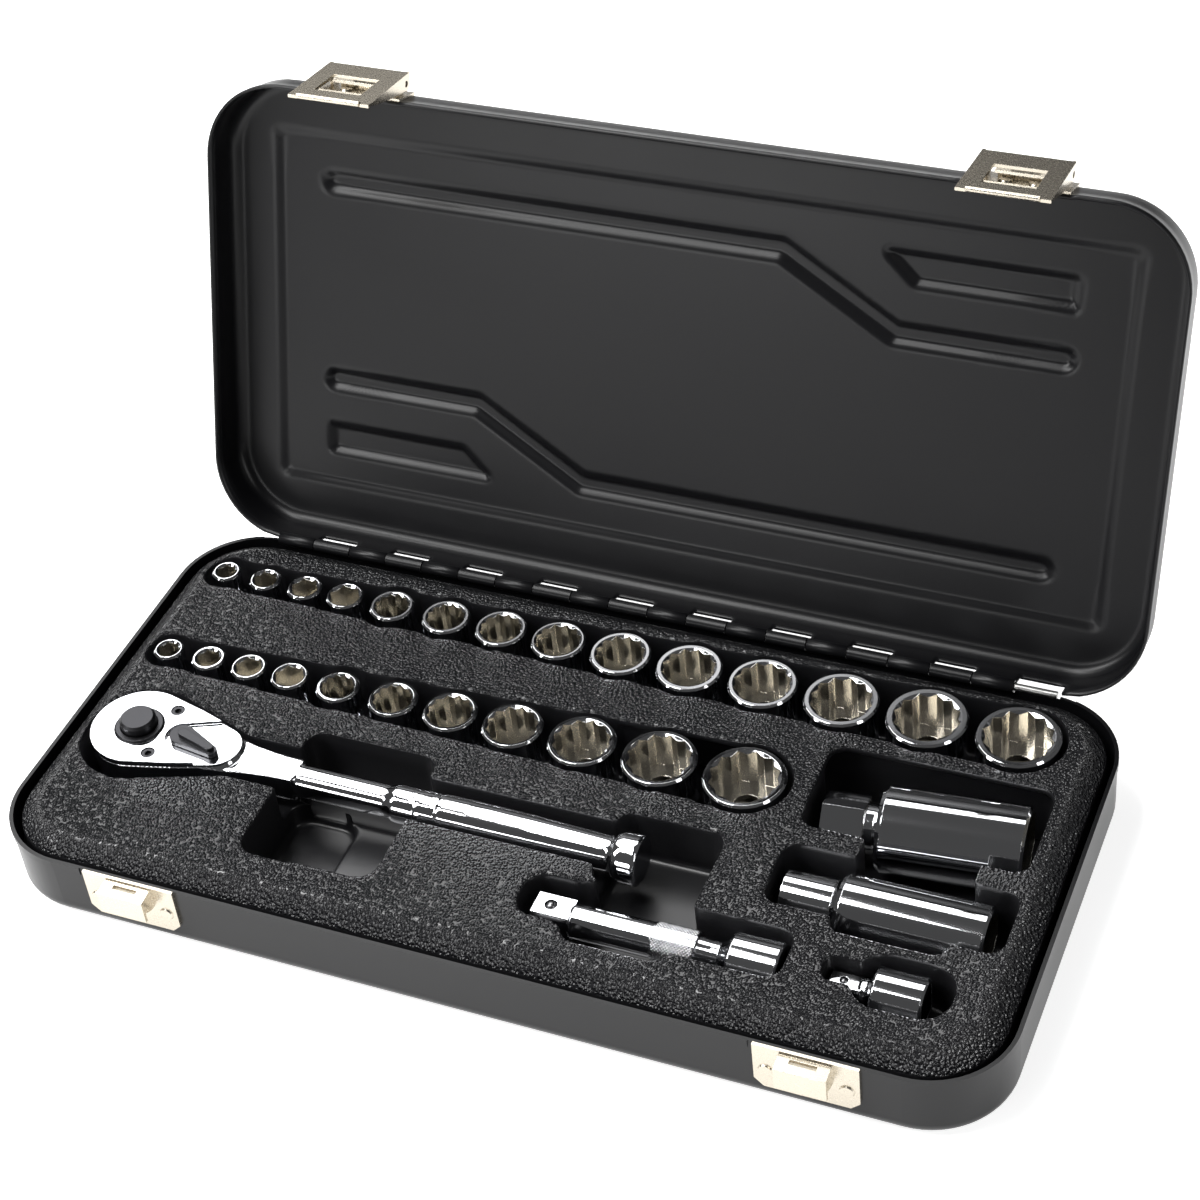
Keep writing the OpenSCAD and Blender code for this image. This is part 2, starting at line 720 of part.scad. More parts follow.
module ratchet_cover() {
    color("#e2e3e6") translate([head_x, tool_y, head_top - cover_t]) difference() {
        linear_extrude(cover_t) head_outline();
        translate([0, 0, 0.9]) linear_extrude(cover_t) lever_scoop();
        translate([0, 0, -1]) cylinder(r = ring_r + FIT, h = cover_t + 2);
        translate([pivot_x - head_x, 0, -1]) cylinder(r = 2.6, h = cover_t + 2);
        for (s = [-1, 1]) translate([screw_x - head_x, s * screw_y, -1])
            cylinder(r = 2.25, h = cover_t + 2);
    }
}

module cover_screws() {
    color("#2a2a2c") for (s = [-1, 1])
        translate([screw_x, tool_y + s * screw_y, 0]) difference() {
            union() {
                translate([0, 0, head_top - cover_t - 5]) cylinder(r = 1.4, h = 6);
                translate([0, 0, head_top - cover_t + 0.1]) cylinder(r = 2.1, h = cover_t - 0.4);
            }
            translate([0, 0, head_top - 1.3]) linear_extrude(2) circle(d = 2.3, $fn = 6);
        }
}

module reversing_lever() {
    color("#1d1d1f") translate([pivot_x, tool_y, 0]) rotate(lever_turn) {
        translate([0, 0, head_top - cover_t + 1.2]) linear_extrude(1.7) hull() {
            circle(3.9);
            translate([13, 0]) circle(1.9);
        }
        translate([0, 0, head_top - cover_t + 2.5]) linear_extrude(1.9) hull() {
            translate([1, 0]) circle(1.6);
            translate([12.6, 0]) circle(1.3);
        }
        translate([0, 0, head_low + 3.6]) cylinder(r = 2.4, h = head_t - 4);
    }
}

// rocking pawl on the lever's spindle, one end in the gear's teeth
module ratchet_pawl() {
    color("#6d6d70") translate([pivot_x, tool_y, head_low + 3.8]) rotate(lever_turn)
        linear_extrude(6) difference() {
            intersection() {
                circle(5.6);
                union() {
                    translate([-4.8, -4.6]) square([4.6, 9.2]);
                    circle(3.6);
                }
            }
            circle(2.4 + FIT);
            rotate(-lever_turn) translate([head_x - pivot_x, 0]) circle(gear_r + 0.35);
            rotate(-3 * lever_turn) translate([head_x - pivot_x, 0]) circle(gear_r + 0.35);
        }
}

module drive_gear() {
    step = 360 / gear_teeth;
    teeth = [for (i = [0 : gear_teeth - 1], k = [0, 0.35, 0.5])
        (gear_r - (k == 0.35 ? 0 : 0.9)) * [cos((i + k) * step), sin((i + k) * step)]];
    color("#77787b") translate([head_x, tool_y, 0]) difference() {
        union() {
            translate([0, 0, head_low + 1.8]) linear_extrude(head_t - cover_t - 2.2)
                polygon(teeth);
            translate([0, 0, head_low - 0.6]) cylinder(r = 7.2, h = 4);
            translate([0, 0, head_low - 0.6 - 10.5]) linear_extrude(11)
                square(THREE_EIGHTHS - 0.1, center = true);
        }
        translate([0, 0, head_low - 10.2]) cylinder(r = stem_r + 0.1, h = head_t + 10);
        translate([0, 0, head_low + 3.2]) cylinder(r = 4.4, h = head_t);
        translate([0, 0, head_top - 3.6]) cylinder(r = button_r + 0.3, h = head_t);
        translate([0, 2, head_low - 6]) rotate([-90, 0, 0]) cylinder(r = ball_r + 0.1, h = 4);
    }
}

module drive_ball() {
    color("#b9bbbe") translate([head_x, tool_y + stem_r + 0.05 + ball_r, head_low - 6])
        sphere(ball_r);
}

module release_button() {
    color("#3a3b3e") translate([head_x, tool_y, 0]) {
        translate([0, 0, head_top - 1.2]) cylinder(r = button_r, h = 4.4);
        translate([0, 0, head_top + 3.2]) cylinder(r1 = button_r, r2 = button_r - 0.8, h = 0.8);
        // stem with the groove that lets the ball in when the button is pressed
        rotate_extrude() polygon([[0, head_low - 7.9], [stem_r, head_low - 7.9],
            [stem_r, head_low - 5.2], [stem_r - 1.2, head_low - 4.4],
            [stem_r - 1.2, head_low - 3.4], [stem_r, head_low - 2.6],
            [stem_r, head_top], [0, head_top]]);
    }
}

module button_spring() {
    color("#8d8f92") translate([head_x, tool_y, head_low + 3.2]) difference() {
        cylinder(r = 4.1, h = head_top - 1.4 - head_low - 3.2);
        translate([0, 0, -1]) cylinder(r = 3, h = head_t);
    }
}

module button_ring() {
    color("#232325") translate([head_x, tool_y, head_top - cover_t + 0.1]) difference() {
        union() {
            cylinder(r = ring_r, h = cover_t + 0.1);
            translate([0, 0, cover_t + 0.1]) cylinder(r1 = ring_r, r2 = ring_r - 0.5, h = 0.5);
        }
        translate([0, 0, -1]) cylinder(r = button_r + 0.25, h = cover_t + 3);
    }
}

// ---- extension bar, adapter and spark plug sockets ----

bar_x = 13.5;
bar_y = -48;
bar_z = 18.5;
square_l = 11;

// square drive along +X with its ball hole on top
module male_square(size, length) {
    difference() {
        translate([length / 2, 0, 0]) intersection() {
            cube([length, size, size], center = true);
            rotate([0, 90, 0]) cylinder(r = size * 0.64, h = length + 1, center = true);
        }
        translate([length * 0.42, 0, size * 0.18]) cylinder(r = size * 0.2, h = size);
    }
}

module extension_bar() {
    color("#cfd1d4") translate([bar_x, bar_y, bar_z]) difference() {
        union() {
            male_square(THREE_EIGHTHS, square_l + 1);
            translate([square_l, 0, 0]) turned([[0, 4.6], [1.4, shank_r], [26, shank_r],
                [26.2, 5.7], [39.6, 5.7], [39.8, shank_r - 0.9], [44, 4.3], [46.4, 4.3],
                [50, 8], [50.6, 8.4], [extension_l - square_l - 0.6, 8.4],
                [extension_l - square_l, 7.8]]);
        }
        translate([extension_l - 11, -THREE_EIGHTHS / 2 - 0.1, -THREE_EIGHTHS / 2 - 0.1])
            cube([12, THREE_EIGHTHS + 0.2, THREE_EIGHTHS + 0.2]);
    }
}

module detent_ball(x, size, length) {
    color("#e4e5e7") translate([x + length * 0.42, bar_y, bar_z + size / 2 - size * 0.12])
        sphere(size * 0.18);
}

adapter_x = 104;
adapter_square = 8.4;
module drive_adapter() {
    color("#cfd1d4") translate([adapter_x, bar_y, bar_z]) difference() {
        union() {
            male_square(QUARTER, adapter_square + 1);
            translate([adapter_square, 0, 0]) turned([[0, 3.6], [1, 4.2], [2.4, 4.4],
                [4.6, 8], [5.2, 8.3], [adapter_l - adapter_square - 0.6, 8.3],
                [adapter_l - adapter_square, 7.7]]);
        }
        translate([adapter_l - 10.5, -THREE_EIGHTHS / 2 - 0.1, -THREE_EIGHTHS / 2 - 0.1])
            cube([12, THREE_EIGHTHS + 0.2, THREE_EIGHTHS + 0.2]);
    }
}

plug_x = 81;
plug_z = 15.6;
big_plug_y = 17.3;
small_plug_y = -18;
big_hex = 21;
small_hex = 16;

// deep socket along +X: drive head, neck, turned body, hexagon mouth
module plug_socket(r, hex, head_len, head_fn, head_d, neck_l, neck_r) {
    difference() {
        union() {
            rotate([0, 90, 0]) rotate(head_fn == 6 ? 12 : 0) linear_extrude(head_len)
                circle(d = head_d, $fn = head_fn);
            turned([[1, neck_r], [head_len + neck_l, neck_r],
                [head_len + neck_l + 1.8, r - 0.8], [head_len + neck_l + 3.2, r],
                [plug_l - 0.8, r], [plug_l, r - 0.8]]);
        }
        translate([-1, -THREE_EIGHTHS / 2 - 0.1, -THREE_EIGHTHS / 2 - 0.1])
            cube([12, THREE_EIGHTHS + 0.2, THREE_EIGHTHS + 0.2]);
        translate([5, 0, 0]) rotate([0, 90, 0]) cylinder(r = 4.2, h = plug_l);
        translate([plug_l - 14, 0, 0]) rotate([0, 90, 0])
            linear_extrude(16) wrench_shape(hex + 0.2, 6);
        translate([head_len + 8, 0, 0]) rotate([0, 90, 0])
            cylinder(r = hex / 2, h = plug_l - head_len - 20);
    }
}

// the large one lies a little askew in its pocket
big_turn = 5;
big_head = 13;
small_head = 15;

module askew() {
    translate([plug_x + plug_l / 2, big_plug_y, plug_z]) rotate(big_turn)
        translate([-plug_l / 2, 0, 0]) children();
}

module plug_socket_large() {
    color("#cfd1d4") askew() plug_socket(big_plug_r, big_hex, big_head, 6, 18.4, 2.8, 7);
}

module plug_socket_small() {
    color("#cfd1d4") translate([plug_x - 1, small_plug_y, plug_z])
        plug_socket(small_plug_r, small_hex, small_head, 64, 16.4, 0.3, 8.1);
}

// rubber sleeve that holds the plug's insulator
module plug_grip(hex, head_len) {
    color("#262626") translate([head_len + 9, 0, 0]) rotate([0, 90, 0]) difference() {
        cylinder(r = hex / 2 - FIT, h = 18);
        translate([0, 0, -1]) cylinder(r = hex / 2 - 3.2, h = 20);
    }
}

module plug_grip_large() {
    askew() plug_grip(big_hex, big_head);
}

module plug_grip_small() {
    translate([plug_x - 1, small_plug_y, plug_z]) plug_grip(small_hex, small_head);
}

case_base();
case_lid();
hinge_pin();
strike_plate(-1);  // strike_plate_left
strike_plate(1);  // strike_plate_right
strike_rivets();
latch_plate(-1);  // latch_plate_left
latch_plate(1);  // latch_plate_right
latch_rivets();
latch_frame(-1);  // latch_frame_left
latch_frame(1);  // latch_frame_right
latch_pin(-1);  // latch_pin_left
latch_pin(1);  // latch_pin_right
latch_spring(-1);  // latch_spring_left
latch_spring(1);  // latch_spring_right
insert_tray();
row(METRIC, back_row_y);
row(IMPERIAL, front_row_y);
ratchet_body();
ratchet_cover();
cover_screws();
reversing_lever();
ratchet_pawl();
drive_gear();
release_button();
button_spring();
button_ring();
drive_ball();
extension_bar();
detent_ball(bar_x, THREE_EIGHTHS, square_l + 1);  // extension_ball
plug_socket_large();
plug_socket_small();
plug_grip_large();
plug_grip_small();
drive_adapter();
detent_ball(adapter_x, QUARTER, adapter_square + 1);  // adapter_ball
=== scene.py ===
# %% [markdown]
# # A socket wrench set in its steel case
# The case, its tray and every tool arrive as exact solids. Each solid is kept as it
# is, and this file gives it the finish of the real thing: painted steel, grained
# plastic, plated wrench steel, nickel latches. Lengths are in metres, and
# `MM` turns a size in millimetres into metres.

import json
import math

import bpy
import numpy as np
from mathutils import Matrix, Vector


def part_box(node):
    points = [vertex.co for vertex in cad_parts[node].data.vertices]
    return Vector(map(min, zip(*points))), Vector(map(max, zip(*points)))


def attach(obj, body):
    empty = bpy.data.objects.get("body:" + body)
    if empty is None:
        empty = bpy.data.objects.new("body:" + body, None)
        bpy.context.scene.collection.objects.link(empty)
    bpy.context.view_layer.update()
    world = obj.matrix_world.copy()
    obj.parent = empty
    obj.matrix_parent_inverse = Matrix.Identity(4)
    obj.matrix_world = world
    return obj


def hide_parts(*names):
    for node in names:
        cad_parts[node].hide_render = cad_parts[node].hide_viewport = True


MM = 0.001
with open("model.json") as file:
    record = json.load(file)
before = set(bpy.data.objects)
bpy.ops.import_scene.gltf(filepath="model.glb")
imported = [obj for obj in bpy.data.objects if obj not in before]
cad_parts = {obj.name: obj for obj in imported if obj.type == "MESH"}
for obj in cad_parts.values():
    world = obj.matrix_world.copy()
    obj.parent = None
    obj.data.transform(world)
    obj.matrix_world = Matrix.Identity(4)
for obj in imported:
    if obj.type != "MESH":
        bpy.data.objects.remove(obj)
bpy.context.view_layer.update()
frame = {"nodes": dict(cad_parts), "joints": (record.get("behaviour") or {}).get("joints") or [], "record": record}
nodes = frame["nodes"]

# %% [markdown]
# ## Helpers for finishes
# Colours are written as they look on a screen (sRGB hex), and the renderer works in
# linear light, so one function turns the first into the second. A second function
# adds a shader node, sets its sockets and joins its links, which keeps each
# material short enough to read.

# %% Colour and node helpers


def linear(hex_colour):
    """sRGB hex to a linear colour with alpha."""
    parts = [int(hex_colour[i:i + 2], 16) / 255 for i in (1, 3, 5)]
    return [c / 12.92 if c <= 0.04045 else ((c + 0.055) / 1.055) ** 2.4
            for c in parts] + [1.0]


def add(tree, kind, links=None, **settings):
    """Add one node. Keys that name a property set it, other keys set an input."""
    node = tree.nodes.new(kind)
    for key, value in settings.items():
        if hasattr(node, key):
            setattr(node, key, value)
    for name, value in (links or {}).items():
        if isinstance(value, bpy.types.NodeSocket):
            tree.links.new(value, node.inputs[name])
        else:
            node.inputs[name].default_value = value
    return node


def finish_named(name):
    """An empty node material with its output, and its tree."""
    material = bpy.data.materials.new(name)
    material.use_nodes = True
    tree = material.node_tree
    tree.nodes.clear()
    return material, tree


def close(tree, shader):
    """Join the shader to the material's output."""
    add(tree, "ShaderNodeOutputMaterial", {"Surface": shader.outputs["BSDF"]})


print("sRGB #808080 is", round(linear("#808080")[0], 3), "in linear light")

# %% [markdown]
# ## Satin black enamel on pressed steel
# The case is sprayed with a thin enamel. It flows out almost flat, and leaves a
# faint orange peel a millimetre or so across, which breaks up each highlight.

# %% Enamel
PEEL = 1.6 * MM


def enamel(name, colour, rough):
    material, tree = finish_named(name)
    where = add(tree, "ShaderNodeTexCoord").outputs["Object"]
    peel = add(tree, "ShaderNodeTexNoise", {
        "Vector": where, "Scale": 1 / PEEL, "Detail": 2.0, "Roughness": 0.5})
    cloud = add(tree, "ShaderNodeTexNoise", {
        "Vector": where, "Scale": 1 / (40 * MM), "Detail": 3.0})
    uneven = add(tree, "ShaderNodeMapRange", {
        "Value": cloud.outputs["Fac"], "To Min": rough - 0.05, "To Max": rough + 0.05})
    bump = add(tree, "ShaderNodeBump", {
        "Height": peel.outputs["Fac"], "Strength": 0.12, "Distance": 0.05 * MM})
    shader = add(tree, "ShaderNodeBsdfPrincipled", {
        "Base Color": linear(colour), "Roughness": uneven.outputs["Result"],
        "IOR": 1.34, "Normal": bump.outputs["Normal"]})
    close(tree, shader)
    return material


case_enamel = enamel("satin_black_enamel", "#0e0e10", 0.32)
print("made", case_enamel.name)

# %% [markdown]
# ## Moulded tray plastic
# The tray is blow moulded polyethylene. Its tool was spark eroded, so the flat top
# has a fine pebbled grain that glints, while the pockets are smoother.

# %% Tray plastic
GRAIN = 1.0 * MM
GRAIN_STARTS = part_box("insert_tray")[1].z - 8 * MM
JUMBLE = 0.0006            # how far the pebbles stray from even spacing


def tray_plastic():
    material, tree = finish_named("grained_black_polyethylene")
    where = add(tree, "ShaderNodeTexCoord").outputs["Object"]
    surface = add(tree, "ShaderNodeNewGeometry")
    height = add(tree, "ShaderNodeSeparateXYZ", {"Vector": surface.outputs["Position"]})
    facing = add(tree, "ShaderNodeSeparateXYZ", {"Vector": surface.outputs["Normal"]})
    high = add(tree, "ShaderNodeMapRange", {
        "Value": height.outputs["Z"], "From Min": GRAIN_STARTS - 0.5 * MM,
        "From Max": GRAIN_STARTS + 0.5 * MM})
    flat = add(tree, "ShaderNodeMapRange", {
        "Value": facing.outputs["Z"], "From Min": 0.3, "From Max": 0.6})
    grained = add(tree, "ShaderNodeMath", {
        0: high.outputs["Result"], 1: flat.outputs["Result"]}, operation="MULTIPLY")
    jumble = add(tree, "ShaderNodeTexNoise", {"Vector": where, "Scale": 0.6 / GRAIN})
    wander = add(tree, "ShaderNodeMixRGB", {
        "Fac": JUMBLE, "Color1": where, "Color2": jumble.outputs["Color"]})
    pebble = add(tree, "ShaderNodeTexVoronoi", {
        "Vector": wander.outputs["Color"], "Scale": 1 / GRAIN}, feature="F1")
    dome = add(tree, "ShaderNodeMapRange", {
        "Value": pebble.outputs["Distance"], "From Min": 0.1, "From Max": 0.75,
        "To Min": 1.0, "To Max": 0.0})
    bump = add(tree, "ShaderNodeBump", {
        "Height": dome.outputs["Result"], "Strength": grained.outputs["Value"],
        "Distance": 0.6 * MM})
    rough = add(tree, "ShaderNodeMapRange", {
        "Value": grained.outputs["Value"], "To Min": 0.32, "To Max": 0.16})
    shader = add(tree, "ShaderNodeBsdfPrincipled", {
        "Base Color": linear("#1c1c1e"), "Roughness": rough.outputs["Result"],
        "IOR": 1.51, "Normal": bump.outputs["Normal"]})
    close(tree, shader)
    return material


tray_finish = tray_plastic()

# %% [markdown]
# ## Plated and bare metals
# Sockets and tools are chrome vanadium steel, polished and then nickel and chrome
# plated. Plating doesn't reach well into a bore, so a socket is duller and warmer
# inside. The latches are nickel plated sheet, and the small black parts are
# blackened steel.

# %% Metals
SPECKLE_SIZE = 0.6 * MM


def metal(name, colour, rough, speckle, edge_r=0.3 * MM):
    """Plated or bare metal. speckle is how far the roughness wanders."""
    material, tree = finish_named(name)
    where = add(tree, "ShaderNodeTexCoord").outputs["Object"]
    noise = add(tree, "ShaderNodeTexNoise", {
        "Vector": where, "Scale": 1 / SPECKLE_SIZE, "Detail": 4.0})
    wander = add(tree, "ShaderNodeMapRange", {
        "Value": noise.outputs["Fac"], "To Min": max(0.02, rough - speckle),
        "To Max": rough + speckle})
    edge = add(tree, "ShaderNodeBevel", {"Radius": edge_r}, samples=4)
    shader = add(tree, "ShaderNodeBsdfPrincipled", {
        "Base Color": linear(colour), "Metallic": 1.0,
        "Roughness": wander.outputs["Result"], "Normal": edge.outputs["Normal"]})
    close(tree, shader)
    return material


chrome = metal("polished_chrome_plate", "#e4e5e8", 0.06, 0.01)
bore_steel = metal("thin_plated_socket_bore", "#d9d5cc", 0.2, 0.02)
nickel = metal("satin_nickel_plate", "#c8c0b1", 0.27, 0.02, 0.12 * MM)
steel = metal("bright_drawn_steel", "#b4b4b2", 0.3, 0.06)
black_oxide = metal("blackened_steel", "#3c3c3e", 0.35, 0.06)
gear_steel = metal("ground_gear_steel", "#8a8a8c", 0.3, 0.05)


def rubber_finish():
    material, tree = finish_named("black_nitrile_rubber")
    where = add(tree, "ShaderNodeTexCoord").outputs["Object"]
    noise = add(tree, "ShaderNodeTexNoise", {"Vector": where, "Scale": 1 / (0.5 * MM)})
    bump = add(tree, "ShaderNodeBump", {
        "Height": noise.outputs["Fac"], "Strength": 0.2, "Distance": 0.05 * MM})
    shader = add(tree, "ShaderNodeBsdfPrincipled", {
        "Base Color": linear("#1d1d1d"), "Roughness": 0.75,
        "Normal": bump.outputs["Normal"]})
    close(tree, shader)
    return material


rubber = rubber_finish()

# %% [markdown]
# ## Which piece has which finish
# The record names a material for every piece, and each of those has a finish here.

# %% Put the finishes on
SLOT_FINISH = {
    "case_paint": case_enamel, "lid_paint": case_enamel, "latch_nickel": nickel,
    "bare_steel": steel, "tray_plastic": tray_finish, "socket_chrome": chrome,
    "ratchet_chrome": chrome, "black_oxide": black_oxide, "button_steel": black_oxide,
    "gear_steel": gear_steel, "grip_rubber": rubber,
}
slot_of = {s["node"]: s["material_slot"] for s in frame["record"]["subparts"]}
for name, piece in nodes.items():
    piece.data.materials.clear()
    piece.data.materials.append(SLOT_FINISH[slot_of[name]])
    for face in piece.data.polygons:
        face.use_smooth = True
print(len(nodes), "pieces have a finish")

# %% [markdown]
# ## Round the edges that a hand would feel
# A solid from a drawing has knife edges, and real parts don't: light catches the
# small round on every edge. The tray is blow moulded, so all its edges are soft. It
# is rebuilt in small cubes and then smoothed, which rounds inside and outside
# corners alike. The ratchet is a forging, so it is softened too, in smaller cubes.
# The hard edges of other metal parts are rounded by their finish.

# %% Soften the tray
TRAY_CELL = 0.75 * MM
FORGED_CELL = 0.35 * MM


def soften(name, cell, rounds):
    """Rebuild a solid in small cubes, then smooth them as many times as rounds says."""
    cells = nodes[name].modifiers.new("cells", "REMESH")
    cells.mode = "VOXEL"
    cells.voxel_size = cell
    cells.use_smooth_shade = True
    smooth = nodes[name].modifiers.new("soften", "SMOOTH")
    smooth.factor = 0.5
    smooth.iterations = rounds


soften("insert_tray", TRAY_CELL, 9)
soften("ratchet_body", FORGED_CELL, 20)
print("the tray is rebuilt in cells of", round(TRAY_CELL / MM, 2), "mm")

# %% [markdown]
# ## The pressed lid
# The lid is one sheet drawn in a press. Its panel, beads and corner pads have soft
# shoulders, which a drawing's straight steps can't show, so it is built here as a
# surface: rings run round the lid from the rim to the middle, and each point's
# height is worked out from how far it lies from the nearest bead. A solidify
# modifier then gives it the thickness of the sheet.

# %% The lid's outline and relief
hinge = next(j for j in frame["joints"] if j["name"] == "lid_hinge")
OPEN = math.radians(-hinge["range_deg"][0])
HINGE_Y, RIM_Z = (c / MM for c in hinge["pos_m"][1:])
SHEET, HEM_OUT, HEM_H = 0.9, 0.35, 2.8
RIM_GAP, LID_H, CORNER_R, EDGE_R = 0.15, 16.3, 26.0, 5.0
HALF_W, HALF_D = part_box("case_lid")[1].x / MM - HEM_OUT, HINGE_Y
PANEL_IN, PANEL_RISE, BEAD_RISE, BEAD_W, SHOULDER = 17.5, 1.2, 1.9, 9.0, 3.4
BEAD_END = HALF_W - PANEL_IN - 20
BEAD = np.array([(-BEAD_END, 23.6), (-70, 23.6), (-32, 44.8), (BEAD_END, 44.8)])
PAD = np.array([(-BEAD_END - 1, 41.0), (-75.5, 41.0), (-67.0, 48.5),
                (-BEAD_END - 1, 48.5)])
PAD_ROUND = 2.0


def to_chain(points, chain):
    """Distance from each point to a chain of straight runs."""
    best = np.full(len(points), 1e9)
    for a, b in zip(chain[:-1], chain[1:]):
        run = b - a
        t = np.clip(((points - a) @ run) / (run @ run), 0, 1)
        best = np.minimum(best, np.linalg.norm(points - a - t[:, None] * run, axis=1))
    return best


def inside_pad(points):
    """Signed distance to the four-sided pad, negative inside."""
    closed = np.vstack([PAD, PAD[:1]])
    away = to_chain(points, closed)
    inner = np.ones(len(points), bool)
    for a, b in zip(closed[:-1], closed[1:]):
        run = b - a
        inner &= run[0] * (points[:, 1] - a[1]) - run[1] * (points[:, 0] - a[0]) >= 0
    return np.where(inner, -away, away)


def rise(distance, half_width):
    """1 on the raised part, easing to 0 across its shoulder."""
    t = np.clip((half_width - distance) / SHOULDER, 0, 1)
    return t * t * (3 - 2 * t)


def relief(points):
    inset = np.minimum(HALF_W - PANEL_IN - np.abs(points[:, 0]),
                       HALF_D - PANEL_IN - np.abs(points[:, 1]))
    shapes = [rise(to_chain(side * points, BEAD), BEAD_W / 2 + 0.4) for side in (1, -1)]
    shapes += [rise(inside_pad(side * points), PAD_ROUND + 0.8) for side in (1, -1)]
    return PANEL_RISE * rise(-inset, SHOULDER / 2) + BEAD_RISE * np.max(shapes, axis=0)


probe_points = np.array([(0.0, 0.0), (60.0, 44.8), (-100.0, 45.0), (HALF_W - 8, 0.0)])
print("heights above the plate:", relief(probe_points).round(2))

# %% [markdown]
# The rings start at the rolled rim, climb the wall, turn over the edge and then close
# in on the middle of the plate.

# %% Rings round the lid
KNUCKLES, KNUCKLE_L, KNUCKLE_R, WINDOW_H = 20, 13.55, 2.2, 6.0
HINGE_L = KNUCKLES * KNUCKLE_L
LONG_STEPS, SHORT_STEPS, CORNER_STEPS = 118, 81, 14
long_side = np.arange(-LONG_STEPS, LONG_STEPS + 1) * KNUCKLE_L / 12
short_side = np.linspace(-1, 1, SHORT_STEPS)
RING_STEP = 0.9
LATCH_X, LATCH_HALF_W = 107.0, 17.0
HEM_STOP = 6.0             # plain wall past each end of the hinge


def ring(inset, round_r):
    """Points round a rectangle with round corners, anticlockwise from the back left."""
    a, b = HALF_W - inset, HALF_D - inset
    xs = long_side / (HALF_W - CORNER_R) * (a - round_r)
    ys = short_side * (b - round_r)
    turn = np.linspace(0, np.pi / 2, CORNER_STEPS + 2)[1:-1]

    def corner(cx, cy, start):
        return np.stack([cx + round_r * np.cos(start + turn),
                         cy + round_r * np.sin(start + turn)], axis=1)
    return np.vstack([
        np.stack([xs[::-1], np.full(len(xs), b)], axis=1),
        corner(-(a - round_r), b - round_r, np.pi / 2),
        np.stack([np.full(len(ys), -a), ys[::-1]], axis=1),
        corner(-(a - round_r), -(b - round_r), np.pi),
        np.stack([xs, np.full(len(xs), -b)], axis=1),
        corner(a - round_r, -(b - round_r), 1.5 * np.pi),
        np.stack([np.full(len(ys), a), ys], axis=1),
        corner(a - round_r, b - round_r, 0)])


def lid_profile():
    """Pairs of inset and height from the rim, over the edge, to the plate."""
    hem = [(-HEM_OUT, 0), (-HEM_OUT, HEM_H - 0.3), (-0.1, HEM_H + 0.1), (0, HEM_H + 0.4)]
    wall = [(0, WINDOW_H), (0, 8.5), (0, LID_H - RIM_GAP - EDGE_R)]
    edge = [(EDGE_R * (1 - math.cos(t)), LID_H - RIM_GAP - EDGE_R + EDGE_R * math.sin(t))
            for t in np.linspace(0, math.pi / 2, 10)[1:]]
    return hem + wall + edge


profile = lid_profile()
plate_h = profile[-1][1]
insets = np.arange(EDGE_R + RING_STEP, HALF_D - 0.3, RING_STEP)
rings = []
for inset, height in profile:
    outline = ring(inset, max(CORNER_R - inset, 0.5))
    if inset < 0:                      # no hem behind the latches or the hinge
        across, front = np.abs(outline[:, 0]), outline[:, 1] < 0
        latch = front & (np.abs(across - LATCH_X) < LATCH_HALF_W)
        plain = latch | (~front & (across < HINGE_L / 2 + HEM_STOP))
        outline = np.where(plain[:, None], ring(0, CORNER_R), outline)
    rings.append(np.column_stack([outline, np.full(len(outline), height)]))
for inset in insets:
    shrink = (inset - EDGE_R) / (HALF_D - EDGE_R)
    outline = ring(inset, (CORNER_R - EDGE_R) * (1 - shrink) + 0.05)
    rings.append(np.column_stack([outline, plate_h + relief(outline)]))
print(len(rings), "rings of", len(rings[0]), "points")

# %% [markdown]
# The walls beside the hinge have windows, where the knuckles of the other half turn.
# They are cut a little deeper than in the solid, so that light shows under the lid.
# The lid was measured shut, so its points are turned about the hinge to where the
# lid stands open.

# %% Build the lid


def opened(points):
    """Turn points of the shut lid (mm, height from the rim) to the open pose, in metres."""
    y, z = points[:, 1] - HINGE_Y, points[:, 2] + RIM_GAP
    c, s = math.cos(-OPEN), math.sin(-OPEN)
    return np.stack([points[:, 0], HINGE_Y + y * c - z * s, RIM_Z + y * s + z * c],
                    axis=1) * MM


def knuckle_start(i):
    return -HINGE_L / 2 + i * KNUCKLE_L


def in_window(x):
    """True beside a knuckle that belongs to the base."""
    i = math.floor((x + HINGE_L / 2) / KNUCKLE_L)
    return 0 <= i < KNUCKLES and i % 2 == 1


def lid_mesh():
    around = len(rings[0])
    points = np.vstack(rings)
    faces = []
    for level in range(len(rings) - 1):
        top = max(rings[level][0, 2], rings[level + 1][0, 2])
        for k in range(around):
            a, b = level * around + k, level * around + (k + 1) % around
            middle = (points[a] + points[b]) / 2
            if middle[1] > HALF_D - 1 and top <= WINDOW_H + 0.01 and in_window(middle[0]):
                continue
            faces.append((a, b, b + around, a + around))
    faces.append(tuple(range((len(rings) - 1) * around, len(rings) * around)))
    mesh = bpy.data.meshes.new("lid_pressing")
    mesh.from_pydata([tuple(p) for p in opened(points)], [], faces)
    mesh.validate()
    return mesh


lid = bpy.data.objects.new("lid_pressing", lid_mesh())
bpy.context.scene.collection.objects.link(lid)
lid.data.materials.append(case_enamel)
for face in lid.data.polygons:
    face.use_smooth = True
sheet = lid.modifiers.new("sheet", "SOLIDIFY")
sheet.thickness = SHEET * MM
sheet.offset = -1
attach(lid, "lid")
print("lid has", len(lid.data.polygons), "faces")

# %% [markdown]
# Half of the hinge's knuckles are curled from the lid. Each is a short tube round the
# pin, with a hair of space to the next one.

# %% Knuckles of the lid


